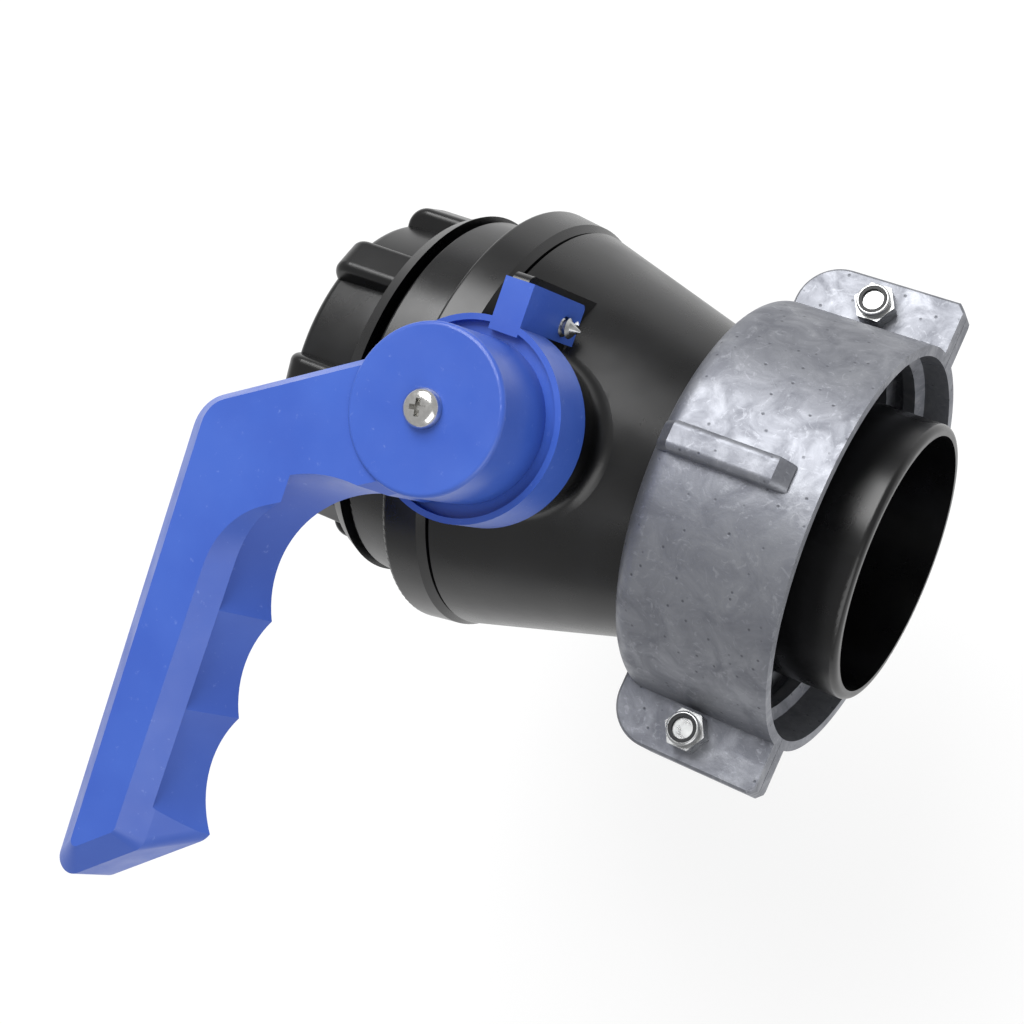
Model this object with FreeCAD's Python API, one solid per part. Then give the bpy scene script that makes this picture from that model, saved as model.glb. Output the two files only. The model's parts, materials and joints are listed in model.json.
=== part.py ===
import FreeCAD, Part
import math
import os

# Outlet ball valve of an intermediate bulk container: black moulded body, blue lever handle,
# cast clamp collar that screws it to the tank, and a dust cap on the outlet neck.
# Millimetres. X is the flow axis and +X points into the tank, +Z runs up the stem.
# The origin is the centre of the collar's mouth.

V = FreeCAD.Vector
FLOW = V(1, 0, 0)
UP = V(0, 0, 1)

# Clearances
running_gap = 0.3        # between pieces that move past each other
shaft_gap = 0.08         # stem in its bore, radial
seat_gap = 0.05          # between a pressed or laid-in piece and its seat
parting_gap = 0.1        # from the collar's parting plane to each half

# Flow passage and tank side
stem_setback = 58.5      # from the collar's mouth back to the stem axis
spigot_r = 27.0
spigot_bore_r = 25.05
spigot_reach = 7.0       # past the collar's mouth
spigot_round = 1.2
spigot_root = 2.2        # chamfer where the spigot leaves the flange
passage_r = 23.0         # through the ball and both seats
passage_taper = 10.0     # length over which the passage opens to the spigot's bore

# Ball and seats
ball_r = 31.5
ball_slot_width = 8.0
ball_slot_depth = 5.0
ball_slot_length = 24.0
cavity_gap = 0.9         # between the ball and the body's cavity
seat_r = 28.5
seat_bore_r = 23.5
seat_front = 15.5        # from the stem axis to the seat's front
seat_back = 23.0         # from the stem axis to the seat's back

# Barrel
barrel_r = 37.9          # at the stem axis
barrel_slope = 0.285     # radius lost per millimetre towards the tank
barrel_end = 12.3        # from the stem axis back to the joint with the end connector
barrel_round = 0.8
cavity_straight = 7.0    # from the stem axis to where the cavity starts to narrow

# Body's tail, which the end connector screws over
joint_gap = 0.1
tail_r = 38.2
tail_end = 20.5          # from the stem axis

# End connector
nose_front = 14.8        # from the stem axis to the nose that holds the outlet seat
ring_r = 43.55           # widest edge of its flange
ring_start_r = 41.2
crown_share = 0.55       # of the flange's rise that its rounded front edge takes
ring_back = 21.0         # from the stem axis to the flange's outlet side
shoulder_r = 37.75
shoulder_back = 33.5
shoulder_round = 0.8
neck_r = 28.2            # at the root of its thread
neck_end = 49.2
neck_lead_in = 1.0

# Body O-ring on the tail
body_ring_groove_width = 3.2
body_ring_groove_depth = 2.2
body_ring_section_r = 1.05
body_ring_x = 16.5       # from the stem axis back to the groove's middle

# Retaining flange and its gasket, inside the collar
flange_r = 35.3
flange_thickness = 4.0
gasket_r = 35.0
gasket_thickness = 2.0

# Stem boss and stem
boss_r = 15.2
boss_top = 46.8
boss_fillet = 3.5
stem_r = 8.0             # the bore's radius, which the stem runs in
stem_shoulder_r = 10.0
stem_shoulder_top = 37.0
stem_shoulder_height = 3.0
washer_thickness = 1.0
stem_drive_flats = 11.0  # across the flats of the square that drives the handle
stem_top = 66.0
stem_ring_section_r = 0.8
stem_ring_groove_depth = 1.6
stem_ring_groove_width = 1.9
stem_rings_up = 40.2     # height of the lower stem O-ring
stem_rings_pitch = 4.0

# Handle hub
hub_r = 14.75
hub_top = 71.55
hub_bevel = 0.8
skirt_r = 18.3
skirt_bottom = 47.1
skirt_top = 57.2
skirt_rim = 1.1
skirt_groove_depth = 1.6
skirt_wall = 2.4
skirt_hollow = 5.0
drive_socket_wall = 3.2

# Handle lever: angles are of each side's outward normal, seen from above
arm_angle = 210.0
arm_half_width = 12.9
grip_back_angle = 181.2
grip_back = 47.0         # from the stem axis to the grip's outer side
grip_front = 21.0        # from the stem axis to the grip's finger side
grip_end_angle = 311.1
grip_end = 52.0
lever_bottom = 57.0
lever_top = 70.6
wall_top = 66.2          # height where the walls meet the top bevel
side_lean = 0.9
side_bevel = 2.0
back_lean = 0.2
back_bevel = 4.6
end_lean = 1.5
end_bevel = 4.0
finger_lean = 7.0
finger_bevel = 4.0
outer_corner = 9.0
elbow_corner = 10.0
end_corner = 4.0
tip_corner = 5.0
wall_shrink = 1.0        # taken off each outer corner's radius at the top of the walls
top_shrink = 3.0         # and at the flat top
grip_wall = 3.4
grip_web = 2.4

# Finger scallops
scallop_count = 3
scallop_pitch = 18.7
scallop_depth = 2.2
scallop_first = 37.0     # from the stem axis along the grip to the first scallop

# Locking lug, its screw and the post on the body that the lug closes over
lug_back = 1.3           # on the outlet side of the stem axis
lug_front = 4.5
lug_reach = 25.5
lug_inner = 17.7
lug_bottom = 35.5
lug_top = 57.2
lug_round = 1.2
lug_wall = 2.2           # of the lug's tank side, which meets the post
lug_roof = 2.0           # over the post
post_overhang = 1.4      # of the post beyond the lug
post_round = 2.0
lock_screw_y = 20.6
lock_screw_z = 41.3
lock_screw_r = 1.85
lock_screw_tip = 8.0

# Handle screw
cap_screw_r = 2.0
cap_screw_head_r = 3.5
cap_screw_head_height = 2.2
cap_screw_depth = 15.0

# Clamp collar
collar_r = 40.0
collar_length = 32.0
collar_bore_r = 38.0     # at the root of its thread
collar_lip = 4.5
collar_lip_r = 32.5
collar_round = 4.4
ear_tilt = -12.7         # degrees from +Y towards +Z
ear_reach = 50.0
ear_half = 4.0
ear_back_corner = 8.5
ear_mouth_chamfer = 1.2
ear_edge_chamfer = 0.5
bolt_radius_place = 44.0
bolt_setback = 15.5
bolt_r = 2.0
bolt_hole_r = 2.2
bolt_head_flats = 7.0
bolt_head_height = 2.8
nut_flats = 7.0
nut_hex_height = 3.6
nut_height = 5.2
insert_height = 1.3
insert_wall = 0.75
rib_width = 5.6
rib_top = 43.0
rib_start = 5.5
rib_length = 25.0
rib_end_slope = 2.5
rib_round = 1.4

# Dust cap
cap_rim_front = 35.0
cap_rim_back = 37.8
cap_rim_r = 38.4
cap_rim_back_r = 37.1
cap_wall_r = 32.6
cap_wall_draft = 0.9
cap_end = 53.5
cap_bore_r = 30.4
cap_end_wall = 2.5
cap_lobes = 8
cap_lobe_r = 36.0
cap_lobe_width = 8.5
cap_lobe_angle = 53.5    # of the first lobe, from +Y towards +Z
cap_lobe_round = 1.6
cap_lobe_end_round = 4.2
cap_end_round = 2.0
liner_r = 29.6
liner_thickness = 1.5

# Worked out from the above
stem_x = -stem_setback
barrel_back_x = stem_x - barrel_end
ring_front_x = barrel_back_x - joint_gap
tail_x = stem_x - tail_end
lip_front_x = -(collar_length - collar_lip)
flange_back_x = lip_front_x + running_gap
flange_front_x = flange_back_x + flange_thickness
cavity_r = ball_r + cavity_gap
pocket_r = seat_r + seat_gap
pocket_depth = seat_back + seat_gap
ball_seat_r = ball_r + running_gap
stem_shaft_r = stem_r - shaft_gap
skirt_inner_r = skirt_r - skirt_wall
nut_axis_top = ear_half + nut_height


def barrel_radius(x):
    return barrel_r - barrel_slope * (x - stem_x)


def revolved(points):
    """Solid of revolution about the flow axis from (x, radius) corners."""
    corners = [V(x, 0, r) for x, r in points]
    face = Part.Face(Part.makePolygon(corners + corners[:1]))
    return face.revolve(V(0, 0, 0), FLOW, 360)


def ring_x(inner, outer, x0, x1):
    return revolved([(x0, inner), (x1, inner), (x1, outer), (x0, outer)])


def rod_x(r, x0, x1):
    return Part.makeCylinder(r, x1 - x0, V(x0, 0, 0), FLOW)


def rod_z(r, z0, z1, x=stem_x, y=0.0):
    return Part.makeCylinder(r, z1 - z0, V(x, y, z0), UP)


def box(x0, x1, y0, y1, z0, z1):
    return Part.makeBox(x1 - x0, y1 - y0, z1 - z0, V(x0, y0, z0))


def hexagon(flats, height):
    """Hexagonal prism up from the XY plane, flats facing +Y and -Y."""
    r = flats / math.sqrt(3)
    corners = [V(r * math.cos(math.radians(60 * i)), r * math.sin(math.radians(60 * i)), 0)
               for i in range(6)]
    return Part.Face(Part.makePolygon(corners + corners[:1])).extrude(V(0, 0, height))


def edges_where(shape, test):
    return [e for e in shape.Edges if test(e)]


def on_circle(edge, x, r, tol=0.02):
    """True for a circle about the flow axis at this place and radius."""
    c = edge.Curve
    if not isinstance(c, Part.Circle):
        return False
    off = abs(c.Center.x - x) + abs(c.Center.y) + abs(c.Center.z) + abs(c.Radius - r)
    return off < tol


def single(shape):
    """The cleaned result of a boolean as one solid."""
    return shape.removeSplitter().Solids[0]


# ---------------------------------------------------------------- body

def body_outside():
    tip = spigot_reach
    front = barrel_radius(flange_back_x)
    back = barrel_radius(barrel_back_x)
    shell = revolved([
        (tip, 0), (tip, spigot_r), (flange_front_x + spigot_root, spigot_r),
        (flange_front_x, spigot_r + spigot_root), (flange_front_x, flange_r),
        (flange_back_x, flange_r), (flange_back_x, front),
        (barrel_back_x + barrel_round, back), (barrel_back_x, back - barrel_round),
        (barrel_back_x, tail_r), (tail_x, tail_r), (tail_x, 0)])
    return shell.makeFillet(spigot_round, edges_where(shell, lambda e: on_circle(e, tip, spigot_r)))


def body_inside():
    """The hollow: ball cavity, seat pocket and the passage to the spigot's tip."""
    past = spigot_reach + 1
    narrow = stem_x + cavity_straight
    pocket_front = stem_x + seat_front - running_gap
    pocket_back = stem_x + pocket_depth
    taper_end = flange_front_x
    return revolved([
        (tail_x - 1, 0), (tail_x - 1, cavity_r), (narrow, cavity_r),
        (pocket_front, pocket_r), (pocket_back, pocket_r), (pocket_back, passage_r),
        (taper_end - passage_taper, passage_r), (taper_end, spigot_bore_r),
        (past, spigot_bore_r), (past, 0)])


def locking_post():
    """Post rising from the barrel beside the boss, which the handle's lug closes over."""
    x0 = stem_x - lug_back
    x1 = stem_x + lug_front - lug_wall - running_gap
    top = lug_top - lug_roof - running_gap
    foot = barrel_r / 2
    inner = skirt_r + running_gap
    reach = lug_reach + post_overhang
    post = box(x0, x1, inner, reach, foot, top)
    crown = edges_where(post, lambda e: abs(e.CenterOfMass.z - top) < 0.01
                        and abs(e.CenterOfMass.y - reach) < 0.01)
    web = box(x0, x1, 0, inner, foot, boss_top - joint_gap)
    return post.makeFillet(post_round, crown).fuse(web)


def valve_body():
    beside_ring = box(stem_x - 2 * boss_r, barrel_back_x, -boss_r, boss_r, 0, boss_top + 1)
    boss = rod_z(boss_r, 0, boss_top).cut(beside_ring)
    shell = single(body_outside().fuse(boss))
    seam = edges_where(shell, lambda e: abs(e.CenterOfMass.x - stem_x) < boss_r
                       and 0.8 * barrel_r < e.CenterOfMass.z < barrel_r
                       and abs(math.hypot(e.valueAt(e.FirstParameter).x - stem_x,
                                          e.valueAt(e.FirstParameter).y) - boss_r) < 0.01
                       and e.Length > boss_r)
    shell = shell.makeFillet(boss_fillet, seam)
    shell = shell.fuse(locking_post())
    shell = shell.cut(body_inside())
    bore = rod_z(stem_r, 0, boss_top + 1)
    shoulder_seat = rod_z(stem_shoulder_r + running_gap, 0, stem_shoulder_top)
    groove_x = stem_x - body_ring_x
    half = body_ring_groove_width / 2
    groove = ring_x(tail_r - body_ring_groove_depth, tail_r + 1, groove_x - half, groove_x + half)
    return single(shell.cut([bore, shoulder_seat, groove]))


# ------------------------------------------------------- end connector

def end_connector():
    """Flanged ring that closes the body behind the ball and carries the threaded outlet neck."""
    nose_x = stem_x - nose_front
    nose_r = cavity_r - joint_gap
    socket_x = tail_x - joint_gap
    socket_r = tail_r + joint_gap
    ring_back_x = stem_x - ring_back
    shoulder_x = stem_x - shoulder_back
    neck_x = stem_x - neck_end
    crown = (ring_r - ring_start_r) * crown_share
    outside = revolved([
        (ring_front_x, 0), (ring_front_x, ring_start_r),
        (ring_front_x - crown, ring_start_r + crown), (ring_back_x, ring_r), (ring_back_x, shoulder_r),
        (shoulder_x, shoulder_r), (shoulder_x, neck_r),
        (neck_x + neck_lead_in, neck_r), (neck_x, neck_r - neck_lead_in), (neck_x, 0)])
    rims = edges_where(outside, lambda e: on_circle(e, ring_back_x, ring_r)
                       or on_circle(e, shoulder_x, shoulder_r))
    outside = outside.makeFillet(shoulder_round, rims)
    inside = revolved([
        (ring_front_x + 1, 0), (ring_front_x + 1, socket_r), (socket_x, socket_r),
        (socket_x, nose_r), (nose_x, nose_r), (nose_x, pocket_r),
        (stem_x - pocket_depth, pocket_r), (stem_x - pocket_depth, passage_r),
        (neck_x - 1, passage_r), (neck_x - 1, 0)])
    return single(outside.cut(inside))


# --------------------------------------------------- ball, seats, seals

def ball():
    """Hollow-bored ball, bore across the flow at rest, with the stem's slot on top."""
    flats = math.sqrt(ball_r ** 2 - passage_r ** 2)
    sphere = Part.makeSphere(ball_r, V(stem_x, 0, 0))
    slab = box(stem_x - 2 * ball_r, stem_x + 2 * ball_r, -flats, flats, -2 * ball_r, 2 * ball_r)
    bore = Part.makeCylinder(passage_r, 4 * ball_r, V(stem_x, -2 * ball_r, 0), V(0, 1, 0))
    half_w = ball_slot_width / 2
    half_l = ball_slot_length / 2
    slot = box(stem_x - half_w, stem_x + half_w, -half_l, half_l, ball_r - ball_slot_depth, 2 * ball_r)
    return single(sphere.common(slab).cut(bore).cut(slot))


def seat(side):
    """Seat ring on one side of the ball: side is +1 towards the tank, -1 towards the outlet."""
    ring = ring_x(seat_bore_r, seat_r, *sorted((stem_x + side * seat_front, stem_x + side * seat_back)))
    return single(ring.cut(Part.makeSphere(ball_seat_r, V(stem_x, 0, 0))))


def body_o_ring():
    middle = tail_r - body_ring_groove_depth + body_ring_section_r + seat_gap
    return Part.makeTorus(middle, body_ring_section_r, V(stem_x - body_ring_x, 0, 0), FLOW)


def inlet_gasket():
    x0 = flange_front_x + seat_gap
    return ring_x(spigot_r + spigot_root + seat_gap, gasket_r, x0, x0 + gasket_thickness)


# ---------------------------------------------------------------- stem

def stem_groove_heights():
    return [stem_rings_up + i * stem_rings_pitch for i in range(2)]


def stem():
    """Blade in the ball's slot, blow-out shoulder, round shaft with two grooves, square drive."""
    shoulder_top = stem_shoulder_top - washer_thickness - 2 * seat_gap
    shoulder_foot = shoulder_top - stem_shoulder_height
    shaft = rod_z(stem_shaft_r, shoulder_foot, boss_top)
    shoulder = rod_z(stem_shoulder_r, shoulder_foot, shoulder_top)
    blade_w = ball_slot_width / 2 - shaft_gap
    blade_l = stem_shoulder_r - running_gap
    blade_foot = ball_r - ball_slot_depth + running_gap
    blade = box(stem_x - blade_w, stem_x + blade_w, -blade_l, blade_l, blade_foot, shoulder_top)
    blade = blade.common(rod_z(blade_l, blade_foot, shoulder_top))
    half = stem_drive_flats / 2
    square = box(stem_x - half, stem_x + half, -half, half, boss_top - 1, stem_top)
    body = shaft.fuse([shoulder, blade, square.common(rod_z(stem_shaft_r, boss_top - 1, stem_top))])
    for z in stem_groove_heights():
        lo = z - stem_ring_groove_width / 2
        hi = z + stem_ring_groove_width / 2
        body = body.cut(rod_z(stem_r + 1, lo, hi).cut(rod_z(stem_shaft_r - stem_ring_groove_depth, lo, hi)))
    screw_hole = rod_z(cap_screw_r + seat_gap, hub_top - cap_screw_depth - 1, stem_top + 1)
    return single(body.cut(screw_hole))


def stem_o_ring(z):
    middle = stem_shaft_r - stem_ring_section_r
    return Part.makeTorus(middle, stem_ring_section_r - seat_gap, V(stem_x, 0, z), UP)


def thrust_washer():
    lo = stem_shoulder_top - washer_thickness - seat_gap
    disc = rod_z(stem_shoulder_r, lo, lo + washer_thickness)
    return single(disc.cut(rod_z(stem_shaft_r + seat_gap, lo - 1, lo + washer_thickness + 1)))


# -------------------------------------------------------------- handle

def corner_point(side_a, side_b):
    """Where two sides cross; each side is (normal angle, distance from the stem axis)."""
    a, da = math.radians(side_a[0]), side_a[1]
    b, db = math.radians(side_b[0]), side_b[1]
    det = math.cos(a) * math.sin(b) - math.sin(a) * math.cos(b)
    x = (da * math.sin(b) - db * math.sin(a)) / det
    y = (math.cos(a) * db - math.cos(b) * da) / det
    return V(x + stem_x, y, 0)


def rounded_outline(sides, radii, z):
    """Closed wire at height z around the sides, corner i (between sides i and i+1) rounded."""
    n = len(sides)
    corners = [corner_point(sides[i], sides[(i + 1) % n]) for i in range(n)]
    edges = []
    last = None
    first = None
    for i, corner in enumerate(corners):
        before = (corners[i - 1] - corner).normalize()
        after = (corners[(i + 1) % n] - corner).normalize()
        start = end = corner
        if radii[i]:
            half = before.getAngle(after) / 2
            tangent = radii[i] / math.tan(half)
            start = corner + before * tangent
            end = corner + after * tangent
            inward = (before + after).normalize()
            middle = corner + inward * (radii[i] / math.sin(half) - radii[i])
        lift = V(0, 0, z)
        if last is not None:
            edges.append(Part.LineSegment(last + lift, start + lift).toShape())
        else:
            first = start
        if radii[i]:
            edges.append(Part.Arc(start + lift, middle + lift, end + lift).toShape())
        last = end
    edges.append(Part.LineSegment(last + lift, first + lift).toShape())
    return Part.Wire(edges)


def lever_level(z, leans, shrink, wall=0.0):
    """Outline of the lever at one height: leans are (arm sides, back, end, finger side)."""
    side, back, end, finger = (lean + wall for lean in leans)
    sides = [
        (arm_angle - 90, arm_half_width - side),
        (grip_back_angle, grip_back - back),
        (grip_end_angle, grip_end - end),
        (0.0, -grip_front - finger),
        (arm_angle + 90, arm_half_width - side),
        (arm_angle + 180, stem_drive_flats / 2)]
    radii = [outer_corner - shrink, end_corner - shrink, tip_corner - shrink,
             elbow_corner + 2 * shrink, 0, 0]
    return rounded_outline(sides, radii, z)


def lever_leans():
    """How far the walls lean in at their top, and at the flat top above the bevel."""
    lean = (side_lean, back_lean, end_lean, finger_lean)
    bevel = (side_bevel, back_bevel, end_bevel, finger_bevel)
    return lean, tuple(a + b for a, b in zip(lean, bevel))


def lever_solid():
    lean, top = lever_leans()
    return Part.makeLoft([
        lever_level(lever_bottom, (0, 0, 0, 0), 0.0),
        lever_level(wall_top, lean, wall_shrink),
        lever_level(lever_top, top, top_shrink)], True, True)


def scallops():
    """Tools that cut the finger scallops, leaning with the wall and running out near its top."""
    bite = scallop_pitch / 2
    radius = (bite ** 2 + scallop_depth ** 2) / (2 * scallop_depth)
    low = V(stem_x - grip_front - scallop_depth + radius, 0, lever_bottom)
    high = V(stem_x - grip_front - finger_lean + radius, 0, wall_top)
    lean = high - low
    tools = []
    for i in range(scallop_count):
        across = V(0, -(scallop_first + i * scallop_pitch), 0)
        tools.append(Part.makeCylinder(radius, 3 * lean.Length, low - lean + across, lean))
    return tools


def grip_hollow():
    """Open underside of the grip, divided by cross webs between the fingers."""
    ceiling = lever_top - grip_wall
    lean, top = lever_leans()
    wall = grip_wall + scallop_depth / 2
    void = Part.makeLoft([
        lever_level(lever_bottom - 1, (0, 0, 0, 0), top_shrink, wall),
        lever_level(ceiling, lean, top_shrink, wall)], True, True)
    first_web = -(scallop_first - scallop_pitch / 2)
    grip_only = box(stem_x - 2 * grip_back, stem_x, -3 * grip_end, first_web - grip_web / 2,
                    lever_bottom - 1, ceiling)
    void = void.common(grip_only)
    for i in range(1, scallop_count + 1):
        y = first_web - i * scallop_pitch
        web = box(stem_x - 2 * grip_back, stem_x, y - grip_web / 2, y + grip_web / 2,
                  lever_bottom + grip_web, ceiling)
        void = void.cut(web)
    return void


def hub():
    """Round boss of the handle with its wider skirt, grooved on top and hollow underneath."""
    boss = rod_z(hub_r, skirt_bottom, hub_top)
    rim = edges_where(boss, lambda e: abs(e.CenterOfMass.z - hub_top) < 0.01)
    boss = boss.makeFillet(hub_bevel, [e for e in rim if e.Closed and isinstance(e.Curve, Part.Circle)])
    skirt = rod_z(skirt_r, skirt_bottom, skirt_top)
    groove = rod_z(skirt_r - skirt_rim, skirt_top - skirt_groove_depth, skirt_top + 1)
    return boss.fuse(skirt.cut(groove))


def hub_cuts():
    """Drive socket, screw hole and the moulded hollow ring under the skirt."""
    half = stem_drive_flats / 2 + seat_gap
    socket = box(stem_x - half, stem_x + half, -half, half, skirt_bottom - 1, stem_top + running_gap)
    socket = socket.common(rod_z(stem_r, skirt_bottom - 1, stem_top + running_gap))
    screw = rod_z(cap_screw_r + seat_gap, stem_top, hub_top + 1)
    core_r = stem_r + drive_socket_wall
    hollow = rod_z(skirt_inner_r, skirt_bottom - 1, skirt_bottom + skirt_hollow)
    hollow = hollow.cut(rod_z(core_r, skirt_bottom - 1, skirt_bottom + skirt_hollow))
    return [socket, screw, hollow]


def locking_lug():
    """Lug beside the skirt: a wall on the tank side and a roof that closes over the post."""
    x0 = stem_x - lug_back
    x1 = stem_x + lug_front
    wall = box(x1 - lug_wall, x1, lug_inner, lug_reach, lug_bottom, lug_top)
    tips = edges_where(wall, lambda e: abs(e.CenterOfMass.y - lug_reach) < 0.01
                       and abs(e.CenterOfMass.z - lug_bottom) < 0.01)
    wall = wall.makeFillet(lug_round, tips)
    roof = box(x0, x1, skirt_inner_r + joint_gap, lug_reach, lug_top - lug_roof, lug_top)
    return single(wall.fuse(roof))


def handle():
    lever = lever_solid()
    lever = lever.cut(scallops())
    lever = lever.cut(grip_hollow())
    lock_hole = rod_x(lock_screw_r + seat_gap, stem_x, stem_x + lug_front + 1)
    lock_hole.translate(V(0, lock_screw_y, lock_screw_z))
    solid = hub().fuse([lever, locking_lug()])
    return single(solid.cut(hub_cuts() + [lock_hole]))


def locking_screw():
    """Headless screw held in the lug, its tip standing out on the tank side."""
    x0 = stem_x + lug_front - lug_wall + seat_gap
    x1 = stem_x + lock_screw_tip
    screw = rod_x(lock_screw_r, x0, x1)
    screw = screw.makeChamfer(lock_screw_r / 3, edges_where(screw, lambda e: on_circle(e, x1, lock_screw_r)))
    screw.translate(V(0, lock_screw_y, lock_screw_z))
    return screw


def handle_screw():
    seat_z = hub_top + seat_gap
    head = rod_z(cap_screw_head_r, seat_z, seat_z + cap_screw_head_height)
    crown = edges_where(head, lambda e: e.Closed and abs(e.CenterOfMass.z - head.BoundBox.ZMax) < 0.01)
    head = head.makeFillet(cap_screw_head_height * 0.7, crown[:1])
    shank = rod_z(cap_screw_r - joint_gap, hub_top - cap_screw_depth, seat_z + 0.5)
    return single(head.fuse(shank))


# -------------------------------------------------------------- collar

def to_ears(shape):
    """Turn a shape made with ears along Y and parting plane Z = 0 into its real tilt."""
    shape.rotate(V(0, 0, 0), FLOW, ear_tilt)
    return shape


def ear(side):
    """Bolting ear on one side, square to the parting plane, before it is split."""
    back = -collar_length + running_gap
    near = collar_bore_r
    plate = box(back, 0, *sorted((side * near, side * ear_reach)), -ear_half, ear_half)
    corner = edges_where(plate, lambda e: abs(e.CenterOfMass.x - back) < 0.01
                         and abs(abs(e.CenterOfMass.y) - ear_reach) < 0.01
                         and abs(e.CenterOfMass.z) < 0.01)
    plate = plate.makeFillet(ear_back_corner, corner)
    mouth = edges_where(plate, lambda e: abs(e.CenterOfMass.x) < 0.01
                        and abs(abs(e.CenterOfMass.y) - ear_reach) < 0.01
                        and abs(e.CenterOfMass.z) < 0.01)
    plate = plate.makeChamfer(ear_mouth_chamfer, mouth)
    faces_z = edges_where(plate, lambda e: abs(abs(e.CenterOfMass.z) - ear_half) < 0.01
                          and abs(e.CenterOfMass.y) > near + 0.5 * (ear_reach - near) + 0.1
                          and abs(e.CenterOfMass.x) > 0.01)
    return plate.makeChamfer(ear_edge_chamfer, faces_z)


def collar_ring():
    back = -collar_length
    ring = revolved([
        (0, collar_bore_r), (0, collar_r), (back, collar_r), (back, collar_lip_r),
        (lip_front_x, collar_lip_r), (lip_front_x, collar_bore_r)])
    return ring.makeFillet(collar_round, edges_where(ring, lambda e: on_circle(e, back, collar_r)))


def rib():
    """Raised driving rib along the collar, on the half that faces up."""
    half = rib_width / 2
    root = collar_bore_r + 0.5
    x1 = -rib_start
    x0 = x1 - rib_length
    bar = box(x0, x1, -half, half, root, rib_top)
    ends = edges_where(bar, lambda e: abs(e.CenterOfMass.z - rib_top) < 0.01
                       and abs(e.CenterOfMass.y) < 0.01)
    bar = bar.makeChamfer(rib_end_slope, ends)
    crown = edges_where(bar, lambda e: e.CenterOfMass.z > rib_top - rib_end_slope - 0.1
                        and abs(abs(e.CenterOfMass.y) - half) < 0.01)
    return bar.makeFillet(rib_round, crown)


def bolt_places():
    return [(-bolt_setback, side * bolt_radius_place) for side in (1, -1)]


def whole_collar():
    body = collar_ring().fuse([ear(1), ear(-1), rib()])
    body = body.cut(rod_x(collar_bore_r, lip_front_x, 1))
    for x, y in bolt_places():
        body = body.cut(rod_z(bolt_hole_r, -2 * ear_half, 2 * ear_half, x, y))
    return body


def collar_half(side):
    """Half of the collar: side is +1 for the half with the rib, -1 for the other."""
    far = 2 * ear_reach
    z0, z1 = sorted((side * parting_gap, side * far))
    return to_ears(single(whole_collar().common(box(-far, far, -far, far, z0, z1))))


def collar_bolts():
    parts = []
    for x, y in bolt_places():
        head = hexagon(bolt_head_flats, bolt_head_height)
        head.translate(V(x, y, -ear_half - seat_gap - bolt_head_height))
        shank = rod_z(bolt_r, -ear_half - seat_gap - 0.5, nut_axis_top - insert_height / 2, x, y)
        parts.append(to_ears(single(head.fuse(shank))))
    return Part.makeCompound(parts)


def collar_nuts():
    """Prevailing-torque nuts: hexagon below, round collar above with a seat for the insert."""
    parts = []
    for x, y in bolt_places():
        base = ear_half + seat_gap
        nut = hexagon(nut_flats, nut_hex_height)
        nut.translate(V(x, y, base))
        crown_r = nut_flats / 2 - running_gap
        crown = rod_z(crown_r, base, base + nut_height - seat_gap, x, y)
        top = edges_where(crown, lambda e: e.Closed and e.CenterOfMass.z > base + nut_hex_height)
        crown = crown.makeFillet(insert_wall / 2, top[:1])
        hole = rod_z(bolt_r + seat_gap, base - 1, base + nut_height, x, y)
        pocket = rod_z(bolt_r + insert_wall, nut_axis_top - insert_height, nut_axis_top + 1, x, y)
        parts.append(to_ears(single(nut.fuse(crown).cut(hole).cut(pocket))))
    return Part.makeCompound(parts)


def nut_inserts():
    parts = []
    for x, y in bolt_places():
        lo = nut_axis_top - insert_height + seat_gap
        ring = rod_z(bolt_r + insert_wall - seat_gap, lo, nut_axis_top, x, y)
        parts.append(to_ears(single(ring.cut(rod_z(bolt_r + seat_gap, lo - 1, nut_axis_top + 1, x, y)))))
    return Part.makeCompound(parts)


# ------------------------------------------------------------ dust cap

def cap_lobe():
    """One grip lobe, standing up along Z before it is turned into place."""
    half = cap_lobe_width / 2
    end = stem_x - cap_end
    lobe = box(end, stem_x - cap_rim_back + 1, -half, half, cap_bore_r, cap_lobe_r)
    nose = edges_where(lobe, lambda e: e.CenterOfMass.z > cap_lobe_r - 0.01
                       and abs(e.CenterOfMass.x - end) < 0.01)
    lobe = lobe.makeFillet(cap_lobe_end_round, nose)
    crests = edges_where(lobe, lambda e: abs(abs(e.CenterOfMass.y) - half) < 0.01
                         and e.CenterOfMass.z > cap_lobe_r - cap_lobe_end_round)
    return lobe.makeFillet(cap_lobe_round, crests)


def dust_cap():
    end = stem_x - cap_end
    rim_back = stem_x - cap_rim_back
    rim_front = stem_x - cap_rim_front
    shell = revolved([
        (rim_front, 0), (rim_front, cap_rim_r), (rim_back, cap_rim_back_r), (rim_back, cap_wall_r),
        (end, cap_wall_r - cap_wall_draft), (end, 0)])
    end_edge = edges_where(shell, lambda e: on_circle(e, end, cap_wall_r - cap_wall_draft))
    shell = shell.makeFillet(cap_end_round, end_edge)
    for i in range(cap_lobes):
        lobe = cap_lobe()
        lobe.rotate(V(0, 0, 0), FLOW, cap_lobe_angle - 90 + i * 360 / cap_lobes)
        shell = shell.fuse(lobe)
    return single(shell.cut(rod_x(cap_bore_r, end + cap_end_wall, rim_front + 1)))


def cap_liner():
    x0 = stem_x - cap_end + cap_end_wall + seat_gap
    return rod_x(liner_r, x0, x0 + liner_thickness)


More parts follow.
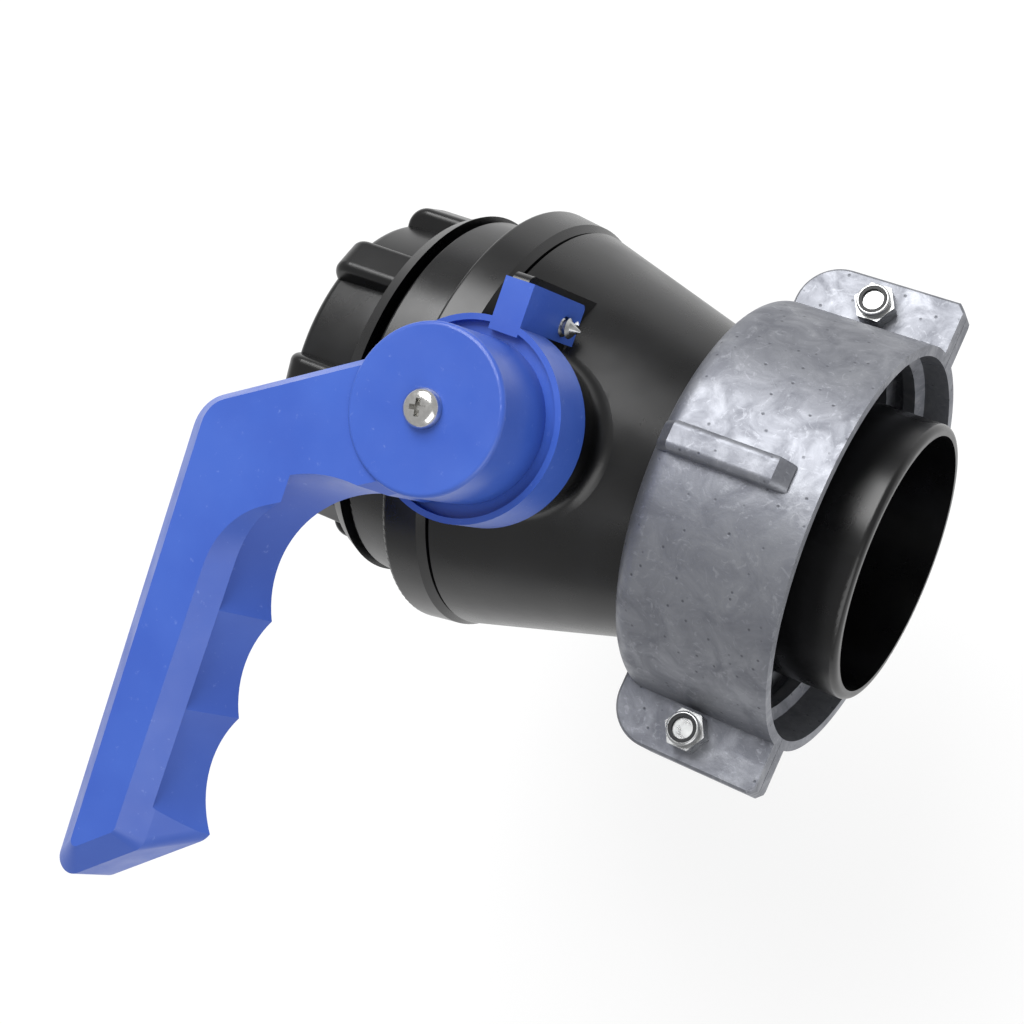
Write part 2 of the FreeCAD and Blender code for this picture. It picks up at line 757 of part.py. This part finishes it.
def main():
    lower, upper = stem_groove_heights()
    nodes = {
        "valve_body": valve_body(),
        "end_connector": end_connector(),
        "ball": ball(),
        "inlet_seat": seat(1),
        "outlet_seat": seat(-1),
        "body_o_ring": body_o_ring(),
        "inlet_gasket": inlet_gasket(),
        "stem": stem(),
        "stem_o_ring_lower": stem_o_ring(lower),
        "stem_o_ring_upper": stem_o_ring(upper),
        "stem_thrust_washer": thrust_washer(),
        "handle": handle(),
        "handle_screw": handle_screw(),
        "locking_screw": locking_screw(),
        "collar_half_a": collar_half(1),
        "collar_half_b": collar_half(-1),
        "collar_bolts": collar_bolts(),
        "collar_nuts": collar_nuts(),
        "nut_inserts": nut_inserts(),
        "dust_cap": dust_cap(),
        "cap_liner": cap_liner(),
    }
    os.makedirs("parts", exist_ok=True)
    for name, shape in nodes.items():
        shape.exportStep("parts/" + name + ".step")
        print(name, len(shape.Solids), shape.isValid(), round(shape.Volume, 1))


main()
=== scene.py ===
import json
import math

import bmesh
import bpy
from bpy.props import FloatProperty, PointerProperty, StringProperty
from mathutils import Matrix, Vector


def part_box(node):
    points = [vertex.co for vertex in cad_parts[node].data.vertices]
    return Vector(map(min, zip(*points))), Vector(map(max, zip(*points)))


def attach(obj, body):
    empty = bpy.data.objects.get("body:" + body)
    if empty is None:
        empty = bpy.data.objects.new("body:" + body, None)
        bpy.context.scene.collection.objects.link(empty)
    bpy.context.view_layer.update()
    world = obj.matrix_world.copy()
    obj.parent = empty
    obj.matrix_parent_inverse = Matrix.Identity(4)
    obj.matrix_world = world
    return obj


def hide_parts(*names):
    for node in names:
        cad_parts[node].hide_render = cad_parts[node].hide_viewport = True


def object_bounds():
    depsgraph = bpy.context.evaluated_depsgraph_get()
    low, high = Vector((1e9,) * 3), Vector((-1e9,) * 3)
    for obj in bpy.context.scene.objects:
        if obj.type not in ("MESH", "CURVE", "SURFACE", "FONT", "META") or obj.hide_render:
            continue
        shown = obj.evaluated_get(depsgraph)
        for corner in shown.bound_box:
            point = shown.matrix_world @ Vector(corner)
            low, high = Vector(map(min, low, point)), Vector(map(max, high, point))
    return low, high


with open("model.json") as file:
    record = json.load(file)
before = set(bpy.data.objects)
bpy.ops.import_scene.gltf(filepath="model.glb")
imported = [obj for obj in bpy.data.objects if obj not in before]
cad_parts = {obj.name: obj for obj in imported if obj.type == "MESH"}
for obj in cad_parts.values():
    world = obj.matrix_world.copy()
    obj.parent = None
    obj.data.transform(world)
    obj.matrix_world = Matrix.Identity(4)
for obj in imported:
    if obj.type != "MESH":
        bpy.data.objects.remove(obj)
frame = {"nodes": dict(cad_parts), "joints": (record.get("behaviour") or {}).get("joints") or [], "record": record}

bl_info = {
    "name": "Container Outlet Valve",
    "version": (1, 0, 0),
    "blender": (4, 5, 0),
    "location": "3D View > Sidebar > Outlet Valve",
    "description": "Dresses a bulk container's outlet valve: finishes, threads and small hardware",
    "category": "Object",
}

CAD_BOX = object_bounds()
MM = 0.001
FLOW = Vector((1, 0, 0))
UP = Vector((0, 0, 1))
STEM = Vector(next(joint for joint in frame["joints"] if joint["name"] == "handle_turn")["pos_m"])

# Threads run from the tank side towards the outlet.
COLLAR_THREAD_SPAN = (-4.2 * MM, -19.5 * MM)
COLLAR_THREAD_TURN = math.radians(70)     # where the ridge starts round the collar
NECK_THREAD_SPAN = (-94.5 * MM, -104.0 * MM)
NECK_ROOT_RADIUS = 28.2 * MM
RIDGE_SINK = 0.15 * MM                    # how far a ridge's foot is set into the wall behind it

# The camera looks down on the lever from the tank side; places are from the stem's axis.
CAMERA_PLACE = Vector((145.59, 15.91, 330.69)) * MM
CAMERA_AIM = Vector((-12.85, -17.66, 0)) * MM
CAMERA_ROLL = math.radians(-81.43)
CAMERA_LENS_MM = 63.49
CAMERA_SENSOR_MM = 36.0

FLOOR_HALF_SIZE = 3.0
FLOOR_DROP = 60 * MM                      # below the valve, so that its shadow stays soft
FLOOR_WHITE_SHARE = 0.75                  # share of glow mixed over the shaded floor, camera rays only


# ------------------------------------------------------------------ frame

def low(node):
    return Vector(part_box(node)[0])


def high(node):
    return Vector(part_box(node)[1])


def frame_radius(mount):
    """Radius stated for one of the record's mounts."""
    stated = next(m for m in frame["record"]["mounts"] if m["name"] == mount)
    return stated["dims"]["r_mm"] * MM


def middle(node):
    return (low(node) + high(node)) / 2


# ---------------------------------------------------------------- shading

def linear(hex_colour):
    """Scene-linear RGBA of an sRGB hex colour."""
    value = hex_colour.lstrip("#")
    channels = [int(value[i:i + 2], 16) / 255 for i in (0, 2, 4)]
    curve = [c / 12.92 if c <= 0.04045 else ((c + 0.055) / 1.055) ** 2.4 for c in channels]
    return (*curve, 1.0)


def add(tree, kind, settings=None, inputs=None):
    """Adds a node, sets its properties, and sets or links its inputs."""
    node = tree.nodes.new(kind)
    for key, value in (settings or {}).items():
        setattr(node, key, value)
    for key, value in (inputs or {}).items():
        if isinstance(value, bpy.types.NodeSocket):
            tree.links.new(value, node.inputs[key])
        else:
            node.inputs[key].default_value = value
    return node


def new_material(name):
    """A material with an empty node tree but for its shader and output, and Object coordinates."""
    material = bpy.data.materials.new(name)
    material.use_nodes = True
    tree = material.node_tree
    tree.nodes.clear()
    shader = add(tree, "ShaderNodeBsdfPrincipled")
    add(tree, "ShaderNodeOutputMaterial", inputs={"Surface": shader.outputs[0]})
    place = add(tree, "ShaderNodeTexCoord").outputs["Object"]
    return material, tree, shader, place


def noise(tree, place, size_mm, detail=3.0, rough=0.5, distortion=0.0):
    """Noise whose blobs are about size_mm across, as a 0 to 1 value."""
    inputs = {"Vector": place, "Scale": 1 / (size_mm * MM), "Detail": detail,
              "Roughness": rough, "Distortion": distortion}
    return add(tree, "ShaderNodeTexNoise", inputs=inputs).outputs[0]


def ramp(tree, value, low_at, high_at, low_to, high_to):
    """Value stretched from one range to another and held at its ends."""
    inputs = {"Value": value, "From Min": low_at, "From Max": high_at, "To Min": low_to, "To Max": high_to}
    return add(tree, "ShaderNodeMapRange", inputs=inputs).outputs[0]


def blend_colours(tree, share, first, second):
    """Colour between two sRGB hex colours, or sockets, by a 0 to 1 share."""
    pair = [c if isinstance(c, bpy.types.NodeSocket) else linear(c) for c in (first, second)]
    node = add(tree, "ShaderNodeMix", {"data_type": "RGBA"}, {0: share, 6: pair[0], 7: pair[1]})
    return node.outputs[2]


def bump(tree, shader, layers):
    """Chains bump layers of (height socket, depth in mm, strength) into the shader's normal."""
    normal = None
    for height, depth_mm, strength in layers:
        inputs = {"Height": height, "Distance": depth_mm * MM, "Strength": strength}
        if normal is not None:
            inputs["Normal"] = normal
        normal = add(tree, "ShaderNodeBump", inputs=inputs).outputs[0]
    tree.links.new(normal, shader.inputs["Normal"])


# -------------------------------------------------------------- materials

def blue_polypropylene(colour, shade):
    """Injection-moulded polypropylene: satin, faint flow clouds, pale scuffs from handling."""
    material, tree, shader, place = new_material("moulded_blue_polypropylene")
    clouds = noise(tree, place, 22, detail=4)
    base = blend_colours(tree, ramp(tree, clouds, 0.35, 0.65, 0, 1), shade, colour)
    scuffs = ramp(tree, noise(tree, place, 1.6, detail=6, rough=0.7), 0.63, 0.72, 0, 0.22)
    tree.links.new(blend_colours(tree, scuffs, base, "#9DB0E4"), shader.inputs["Base Color"])
    gloss = ramp(tree, noise(tree, place, 6, detail=5), 0.3, 0.7, 0.30, 0.42)
    tree.links.new(gloss, shader.inputs["Roughness"])
    shader.inputs["IOR"].default_value = 1.49
    bump(tree, shader, [(noise(tree, place, 14, detail=2), 0.25, 0.25),
                        (noise(tree, place, 0.9, detail=3), 0.02, 0.4)])
    return material


def black_polyethylene(colour, shade):
    """Injection-moulded black polyethylene: glossy, slightly wavy, with soft dusty patches."""
    material, tree, shader, place = new_material("moulded_black_polyethylene")
    dust = ramp(tree, noise(tree, place, 9, detail=5, rough=0.6), 0.5, 0.75, 0, 0.5)
    tree.links.new(blend_colours(tree, dust, colour, shade), shader.inputs["Base Color"])
    gloss = ramp(tree, noise(tree, place, 12, detail=6), 0.3, 0.7, 0.24, 0.34)
    tree.links.new(gloss, shader.inputs["Roughness"])
    shader.inputs["IOR"].default_value = 1.51
    bump(tree, shader, [(noise(tree, place, 18, detail=2), 0.2, 0.3),
                        (noise(tree, place, 0.7, detail=3), 0.012, 0.4)])
    return material


def cast_aluminium(colour, shade):
    """Die-cast aluminium, tumbled: matt grey, cold-flow mottling, shallow pits and rubbed specks."""
    material, tree, shader, place = new_material("die_cast_aluminium")
    mottle = noise(tree, place, 7, detail=8, rough=0.62, distortion=0.8)
    base = blend_colours(tree, ramp(tree, mottle, 0.36, 0.64, 0, 1), shade, colour)
    flow = ramp(tree, noise(tree, place, 2.2, detail=6, rough=0.7, distortion=1.5), 0.56, 0.66, 0, 0.5)
    base = blend_colours(tree, flow, base, "#A6A8AE")
    pits = add(tree, "ShaderNodeTexVoronoi", inputs={"Vector": place, "Scale": 1 / (2.6 * MM)}).outputs[0]
    pit = ramp(tree, pits, 0.05, 0.14, 1, 0)
    tree.links.new(blend_colours(tree, pit, base, "#5E6066"), shader.inputs["Base Color"])
    shader.inputs["Metallic"].default_value = 0.85
    gloss = ramp(tree, mottle, 0.35, 0.65, 0.58, 0.46)
    tree.links.new(gloss, shader.inputs["Roughness"])
    bump(tree, shader, [(mottle, 0.25, 0.35), (pit, -0.12, 0.5),
                        (noise(tree, place, 0.6, detail=4, rough=0.7), 0.05, 0.5)])
    return material


def zinc_plated_steel():
    """Bright zinc-plated steel: grey, soft sheen, slightly uneven plating."""
    material, tree, shader, place = new_material("zinc_plated_steel")
    cloud = noise(tree, place, 1.5, detail=4)
    tree.links.new(blend_colours(tree, cloud, "#9A9B9C", "#C9CAC9"), shader.inputs["Base Color"])
    shader.inputs["Metallic"].default_value = 1.0
    tree.links.new(ramp(tree, cloud, 0.3, 0.7, 0.22, 0.38), shader.inputs["Roughness"])
    bump(tree, shader, [(noise(tree, place, 0.4, detail=3), 0.01, 0.5)])
    return material


def nickel_plated_steel():
    """Polished nickel-plated screw steel: bright, with fine handling marks."""
    material, tree, shader, place = new_material("nickel_plated_steel")
    marks = noise(tree, place, 0.8, detail=5)
    tree.links.new(blend_colours(tree, marks, "#C4C3C1", "#E4E3E0"), shader.inputs["Base Color"])
    shader.inputs["Metallic"].default_value = 1.0
    tree.links.new(ramp(tree, marks, 0.3, 0.7, 0.12, 0.24), shader.inputs["Roughness"])
    return material


def black_nylon():
    """Nylon locking insert: matt black with a faint turned grain."""
    material, tree, shader, place = new_material("black_nylon")
    grain = noise(tree, place, 0.5, detail=3)
    tree.links.new(blend_colours(tree, grain, "#101112", "#1D1E20"), shader.inputs["Base Color"])
    shader.inputs["Roughness"].default_value = 0.55
    bump(tree, shader, [(grain, 0.01, 0.4)])
    return material


def nitrile_rubber():
    """Moulded nitrile seal: soft black with a bloom of grey."""
    material, tree, shader, place = new_material("nitrile_rubber")
    bloom = ramp(tree, noise(tree, place, 4, detail=4), 0.4, 0.8, 0, 0.6)
    tree.links.new(blend_colours(tree, bloom, "#141414", "#26272A"), shader.inputs["Base Color"])
    shader.inputs["Roughness"].default_value = 0.62
    bump(tree, shader, [(noise(tree, place, 0.5, detail=3), 0.015, 0.5)])
    return material


def turned_ptfe():
    """Turned PTFE: waxy white with fine lathe rings about the flow axis."""
    material, tree, shader, place = new_material("turned_ptfe")
    settings = {"wave_type": "RINGS", "rings_direction": "X"}
    rings = add(tree, "ShaderNodeTexWave", settings, {"Vector": place, "Scale": 1 / (2.4 * MM)}).outputs[1]
    tree.links.new(blend_colours(tree, rings, "#E6E5E0", "#F1F0EC"), shader.inputs["Base Color"])
    shader.inputs["Roughness"].default_value = 0.45
    bump(tree, shader, [(rings, 0.01, 0.3)])
    return material


# ----------------------------------------------------------------- meshes

def to_object(mesh_work, name, material, body, smooth_angle=35):
    """Turns a finished bmesh into an object that rides on a body."""
    bmesh.ops.remove_doubles(mesh_work, verts=mesh_work.verts, dist=1e-6)
    bmesh.ops.recalc_face_normals(mesh_work, faces=mesh_work.faces)
    mesh = bpy.data.meshes.new(name)
    mesh_work.to_mesh(mesh)
    mesh_work.free()
    mesh.materials.append(material)
    mesh.polygons.foreach_set("use_smooth", [True] * len(mesh.polygons))
    mesh.set_sharp_from_angle(angle=math.radians(smooth_angle))
    piece = bpy.data.objects.new(name, mesh)
    bpy.context.scene.collection.objects.link(piece)
    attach(piece, body)
    return piece


def profile_points(work, points, origin, axis, out):
    """New vertices at (along, out) points in the plane of an axis and an outward direction."""
    return [work.verts.new(origin + axis * along + out * r) for along, r in points]


def lathe(points, origin, axis, out, steps=64):
    """Bmesh turned from an open (along, out) profile that starts and ends on its axis."""
    work = bmesh.new()
    verts = profile_points(work, points, origin, axis, out)
    edges = [work.edges.new(pair) for pair in zip(verts, verts[1:])]
    bmesh.ops.spin(work, geom=[*verts, *edges], cent=origin, axis=axis, angle=2 * math.pi,
                   steps=steps, use_merge=True)
    return work


def helix(work, points, origin, axis, out, pitch, turns, steps_per_turn=48):
    """Screw thread ridge: a closed (along, out) profile swept along a helix, closed at both ends."""
    start = work.faces.new(profile_points(work, points, origin, axis, out))
    steps = int(turns * steps_per_turn)
    bmesh.ops.spin(work, geom=[start, *start.edges, *start.verts], cent=origin, axis=axis,
                   angle=2 * math.pi * turns, steps=steps, dvec=axis * (pitch * turns / steps))


def thread(name, material, body, root_r, depth, pitch, span, turn=0.0):
    """Screw thread about the flow axis along a (start, end) span; a negative depth points inwards."""
    work = bmesh.new()
    start_x, end_x = span
    sink = math.copysign(RIDGE_SINK, depth)
    crest = 0.2 * pitch
    foot = 0.4 * pitch
    points = [(-foot, root_r - sink), (-crest, root_r + depth),
              (crest, root_r + depth), (foot, root_r - sink)]
    turns = (start_x - end_x) / pitch
    helix(work, points, Vector((start_x, 0, 0)), -FLOW, UP, pitch, turns)
    bmesh.ops.rotate(work, verts=work.verts, cent=(0, 0, 0), matrix=Matrix.Rotation(turn, 3, "X"))
    return to_object(work, name, material, body, smooth_angle=25)


def finish(node, material):
    """Gives a CAD node its material."""
    slots = frame["nodes"][node].data.materials
    slots.clear()
    slots.append(material)


# --------------------------------------------------------------- settings

def colour_property(name, description, default):
    return StringProperty(name=name, description=description, default=default)


class BodySettings(bpy.types.PropertyGroup):
    colour: colour_property("Colour", "Black of the moulded body", "#050506")
    shade: colour_property("Dust", "Greyer black where dust clings", "#121317")


class LeverSettings(bpy.types.PropertyGroup):
    colour: colour_property("Colour", "Blue of the lever", "#3A5CB4")
    shade: colour_property("Shade", "Deeper blue in the moulding's clouds", "#3253AC")


class CollarSettings(bpy.types.PropertyGroup):
    colour: colour_property("Colour", "Grey of the casting", "#8E9096")
    shade: colour_property("Shade", "Darker grey of the cold-flow marks", "#75777E")
    pitch: FloatProperty(name="Thread pitch", description="Pitch of the tank thread",
                         default=6 * MM, unit="LENGTH")
    depth: FloatProperty(name="Thread depth", description="Height of the thread's ridge",
                         default=2 * MM, unit="LENGTH")


class OutletSettings(bpy.types.PropertyGroup):
    pitch: FloatProperty(name="Thread pitch", description="Pitch of the outlet thread",
                         default=6 * MM, unit="LENGTH")
    depth: FloatProperty(name="Thread depth", description="Height of the outlet thread's ridge",
                         default=1.6 * MM, unit="LENGTH")


class HardwareSettings(bpy.types.PropertyGroup):
    head_height: FloatProperty(name="Head height", description="Height of the handle screw's head",
                               default=2.2 * MM, unit="LENGTH")
    recess_span: FloatProperty(name="Recess span", description="Length of each arm pair of the cross recess",
                               default=4.2 * MM, unit="LENGTH")
    recess_width: FloatProperty(name="Recess width", description="Width of each arm of the cross recess",
                                default=1.1 * MM, unit="LENGTH")
    recess_depth: FloatProperty(name="Recess depth", description="Depth of the cross recess",
                                default=1.6 * MM, unit="LENGTH")
    lock_pitch: FloatProperty(name="Locking screw pitch", description="Pitch of the locking screw's thread",
                              default=1.3 * MM, unit="LENGTH")


class StageSettings(bpy.types.PropertyGroup):
    floor_colour: colour_property("Floor", "Colour of the floor", "#FFFFFF")
    key_power: FloatProperty(name="Key light", description="Power of the large key light",
                             default=6.0, unit="POWER")
    fill_power: FloatProperty(name="Fill light", description="Power of the fill light",
                              default=2.5, unit="POWER")
    world_strength: FloatProperty(name="Surroundings", description="Strength of the pale surroundings",
                                  default=0.5)


# -------------------------------------------------------------- operators

class VALVE_OT_body(bpy.types.Operator):
    """Finishes the black mouldings: body, end connector, stem, ball and dust cap"""
    bl_idname = "valve.body"
    bl_label = "Dress body"

    def execute(self, context):
        settings = context.scene.valve_body
        black = black_polyethylene(settings.colour, settings.shade)
        for node in ("valve_body", "end_connector", "stem", "ball", "dust_cap"):
            finish(node, black)
        return {"FINISHED"}


class VALVE_OT_seals(bpy.types.Operator):
    """Finishes the seals, seats and the cap's liner"""
    bl_idname = "valve.seals"
    bl_label = "Dress seals"

    def execute(self, context):
        rubber = nitrile_rubber()
        for node in ("body_o_ring", "inlet_gasket", "stem_o_ring_lower", "stem_o_ring_upper", "cap_liner"):
            finish(node, rubber)
        white = turned_ptfe()
        for node in ("inlet_seat", "outlet_seat", "stem_thrust_washer"):
            finish(node, white)
        return {"FINISHED"}


class VALVE_OT_lever(bpy.types.Operator):
    """Finishes the lever"""
    bl_idname = "valve.lever"
    bl_label = "Dress lever"

    def execute(self, context):
        settings = context.scene.valve_lever
        finish("handle", blue_polypropylene(settings.colour, settings.shade))
        return {"FINISHED"}


class VALVE_OT_collar(bpy.types.Operator):
    """Finishes the collar's two castings and adds their thread"""
    bl_idname = "valve.collar"
    bl_label = "Dress collar"

    def execute(self, context):
        settings = context.scene.valve_collar
        casting = cast_aluminium(settings.colour, settings.shade)
        for node in ("collar_half_a", "collar_half_b"):
            finish(node, casting)
        root_radius = frame_radius("tank_thread")
        ridge = thread("collar_thread", casting, "collar", root_radius, -settings.depth, settings.pitch,
                       COLLAR_THREAD_SPAN, turn=COLLAR_THREAD_TURN)
        return {"FINISHED"}


class VALVE_OT_outlet(bpy.types.Operator):
    """Adds the outlet neck's thread"""
    bl_idname = "valve.outlet"
    bl_label = "Dress outlet"

    def execute(self, context):
        settings = context.scene.valve_outlet
        black = bpy.data.materials["moulded_black_polyethylene"]
        ridge = thread("neck_thread", black, "valve", NECK_ROOT_RADIUS, settings.depth, settings.pitch,
                       NECK_THREAD_SPAN)
        return {"FINISHED"}


class VALVE_OT_hardware(bpy.types.Operator):
    """Finishes the bolts and nuts, and makes the two screws"""
    bl_idname = "valve.hardware"
    bl_label = "Dress hardware"

    def execute(self, context):
        settings = context.scene.valve_hardware
        zinc = zinc_plated_steel()
        for node in ("collar_bolts", "collar_nuts"):
            finish(node, zinc)
        finish("nut_inserts", black_nylon())
        self.handle_screw(settings, nickel_plated_steel())
        self.locking_screw(settings, zinc)
        return {"FINISHED"}

    def handle_screw(self, settings, material):
        """Pan-head screw with a cross recess."""
        bottom, top = low("handle_screw"), high("handle_screw")
        radius = (top.x - bottom.x) / 2
        head = settings.head_height
        foot = top.z - head
        shank = 0.55 * radius
        origin = Vector((STEM.x, 0, foot))
        points = [(bottom.z - foot, 0), (bottom.z - foot, shank), (0, shank), (0, radius)]
        rise = [math.radians(15 * i) for i in range(7)]
        points += [(head * (0.25 + 0.75 * math.sin(a)), radius * (0.45 + 0.55 * math.cos(a))) for a in rise]
        points.append((head, 0))
        work = lathe(points, origin, UP, FLOW, steps=48)
        piece = to_object(work, "handle_screw_detail", material, "lever", smooth_angle=30)
        cutter = self.cross(settings, Vector((STEM.x, 0, top.z)))
        recess = piece.modifiers.new("cross recess", "BOOLEAN")
        recess.operation = "DIFFERENCE"
        recess.solver = "EXACT"
        recess.use_self = True
        recess.object = cutter
        bpy.context.view_layer.update()
        evaluated = piece.evaluated_get(bpy.context.evaluated_depsgraph_get())
        shape = bpy.data.meshes.new_from_object(evaluated)
        piece.modifiers.clear()
        piece.data = shape
        bpy.data.objects.remove(cutter)
        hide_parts("handle_screw")

    def cross(self, settings, centre):
        """Cutter for the cross recess: two tapering blades."""
        work = bmesh.new()
        for quarter in (0, math.pi / 2):
            blade = bmesh.ops.create_cube(work, size=1.0)["verts"]
            size = (settings.recess_span, settings.recess_width, 2 * settings.recess_depth)
            bmesh.ops.scale(work, verts=blade, vec=size)
            floor = [v for v in blade if v.co.z < 0]
            bmesh.ops.scale(work, verts=floor, vec=(0.45, 0.6, 1.0))
            turn = Matrix.Rotation(quarter + math.radians(12), 3, "Z")
            bmesh.ops.rotate(work, verts=blade, cent=(0, 0, 0), matrix=turn)
        bmesh.ops.recalc_face_normals(work, faces=work.faces)
        bmesh.ops.translate(work, verts=work.verts, vec=centre)
        mesh = bpy.data.meshes.new("cross_cutter")
        work.to_mesh(mesh)
        work.free()
        cutter = bpy.data.objects.new("cross_cutter", mesh)
        bpy.context.scene.collection.objects.link(cutter)
        return cutter

    def locking_screw(self, settings, material):
        """Tip of a self-cutting screw: tapering core with a coarse thread."""
        start, tip = low("locking_screw"), high("locking_screw")
        axis_at = middle("locking_screw")
        radius = (tip.z - start.z) / 2
        length = tip.x - start.x
        origin = Vector((start.x, axis_at.y, axis_at.z))
        core = 0.72 * radius
        points = [(0, 0), (0, core), (0.6 * length, core), (length, 0.08 * radius), (length, 0)]
        work = lathe(points, origin, FLOW, UP, steps=24)
        pitch = settings.lock_pitch
        ridge = [(-0.4 * pitch, 0.6 * radius), (0, radius), (0.4 * pitch, 0.6 * radius)]
        turns = 0.62 * length / pitch
        helix(work, ridge, origin + FLOW * 0.5 * pitch, FLOW, UP, pitch, turns, steps_per_turn=20)
        piece = to_object(work, "locking_screw_detail", material, "lever", smooth_angle=25)
        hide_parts("locking_screw")


class VALVE_OT_stage(bpy.types.Operator):
    """Sets the floor, lights, surroundings and camera"""
    bl_idname = "valve.stage"
    bl_label = "Set stage"

    def execute(self, context):
        settings = context.scene.valve_stage
        scene = context.scene
        scene.view_settings.view_transform = "Standard"
        self.floor(settings)
        self.lights(settings)
        self.world(scene, settings)
        self.camera(scene)
        return {"FINISHED"}

    def floor(self, settings):
        """Pale floor that reads as white to the camera but keeps the valve's shadow."""
        material = bpy.data.materials.new("pale_floor")
        material.use_nodes = True
        tree = material.node_tree
        tree.nodes.clear()
        colour = linear(settings.floor_colour)
        matt = add(tree, "ShaderNodeBsdfDiffuse", inputs={"Color": colour})
        glow = add(tree, "ShaderNodeEmission", inputs={"Color": colour, "Strength": 1.0})
        rays = add(tree, "ShaderNodeLightPath").outputs
        seen = add(tree, "ShaderNodeMath", {"operation": "MAXIMUM"},
                   {0: rays["Is Camera Ray"], 1: rays["Is Glossy Ray"]})
        seen = add(tree, "ShaderNodeMath", {"operation": "MAXIMUM"},
                   {0: seen.outputs[0], 1: rays["Is Transmission Ray"]})
        share = add(tree, "ShaderNodeMath", {"operation": "MULTIPLY"},
                    {0: seen.outputs[0], 1: FLOOR_WHITE_SHARE})
        mix = add(tree, "ShaderNodeMixShader",
                  inputs={0: share.outputs[0], 1: matt.outputs[0], 2: glow.outputs[0]})
        add(tree, "ShaderNodeOutputMaterial", inputs={"Surface": mix.outputs[0]})
        work = bmesh.new()
        bmesh.ops.create_grid(work, x_segments=1, y_segments=1, size=FLOOR_HALF_SIZE)
        bmesh.ops.translate(work, verts=work.verts, vec=(STEM.x, 0, CAD_BOX[0][2] - FLOOR_DROP))
        mesh = bpy.data.meshes.new("floor")
        work.to_mesh(mesh)
        work.free()
        mesh.materials.append(material)
        floor = bpy.data.objects.new("floor", mesh)
        bpy.context.scene.collection.objects.link(floor)

    def lights(self, settings):
        """Large soft boxes above the valve: key from the outlet side, fill from the tank side."""
        plans = [
            ("key_light", (-0.25, 0.45, 0.55), 0.5, settings.key_power),
            ("fill_light", (0.45, -0.35, 0.50), 0.6, settings.fill_power),
        ]
        for name, place, size, power in plans:
            data = bpy.data.lights.new(name, "AREA")
            data.shape = "SQUARE"
            data.size = size
            data.energy = power
            lamp = bpy.data.objects.new(name, data)
            lamp.location = place
            lamp.rotation_euler = (STEM - Vector(place)).to_track_quat("-Z", "Y").to_euler()
            bpy.context.scene.collection.objects.link(lamp)

    def world(self, scene, settings):
        """Even pale surroundings, pure white where the camera sees them."""
        world = bpy.data.worlds.new("pale_surroundings")
        scene.world = world
        world.use_nodes = True
        tree = world.node_tree
        tree.nodes.clear()
        rays = add(tree, "ShaderNodeLightPath").outputs
        plain = add(tree, "ShaderNodeBackground",
                    inputs={"Color": (1, 1, 1, 1), "Strength": settings.world_strength})
        white = add(tree, "ShaderNodeBackground", inputs={"Color": (1, 1, 1, 1), "Strength": 1.0})
        mix = add(tree, "ShaderNodeMixShader",
                  inputs={0: rays["Is Camera Ray"], 1: plain.outputs[0], 2: white.outputs[0]})
        add(tree, "ShaderNodeOutputWorld", inputs={"Surface": mix.outputs[0]})

    def camera(self, scene):
        """Looks down on the lever from the tank side."""
        data = bpy.data.cameras.new("camera")
        data.sensor_width = CAMERA_SENSOR_MM
        data.lens = CAMERA_LENS_MM
        data.clip_start = 0.01
        camera = bpy.data.objects.new("camera", data)
        camera.location = STEM + CAMERA_PLACE
        aim = STEM + CAMERA_AIM
        turn = (aim - camera.location).to_track_quat("-Z", "Y").to_matrix()
        roll = Matrix.Rotation(CAMERA_ROLL, 3, "Z")
        camera.rotation_euler = (turn @ roll).to_euler()
        scene.collection.objects.link(camera)
        scene.camera = camera


class VALVE_PT_panel(bpy.types.Panel):
    """Lists the valve's groups in the sidebar"""
    bl_idname = "VALVE_PT_panel"
    bl_label = "Outlet Valve"
    bl_space_type = "VIEW_3D"
    bl_region_type = "UI"
    bl_category = "Outlet Valve"

    def draw(self, context):
        for operator in OPERATORS:
            self.layout.operator(operator.bl_idname)


SETTINGS = {"valve_body": BodySettings, "valve_lever": LeverSettings, "valve_collar": CollarSettings,
            "valve_outlet": OutletSettings, "valve_hardware": HardwareSettings,
            "valve_stage": StageSettings}
OPERATORS = (VALVE_OT_body, VALVE_OT_seals, VALVE_OT_lever, VALVE_OT_collar, VALVE_OT_outlet,
             VALVE_OT_hardware, VALVE_OT_stage)


def register():
    for kind in (*SETTINGS.values(), *OPERATORS, VALVE_PT_panel):
        bpy.utils.register_class(kind)
    for name, kind in SETTINGS.items():
        setattr(bpy.types.Scene, name, PointerProperty(type=kind))


def unregister():
    for name in SETTINGS:
        delattr(bpy.types.Scene, name)
    for kind in reversed((*SETTINGS.values(), *OPERATORS, VALVE_PT_panel)):
        bpy.utils.unregister_class(kind)


def main():
    register()
    for operator in OPERATORS:
        group, action = operator.bl_idname.split(".")
        getattr(getattr(bpy.ops, group), action)()


if __name__ == "__main__":
    main()
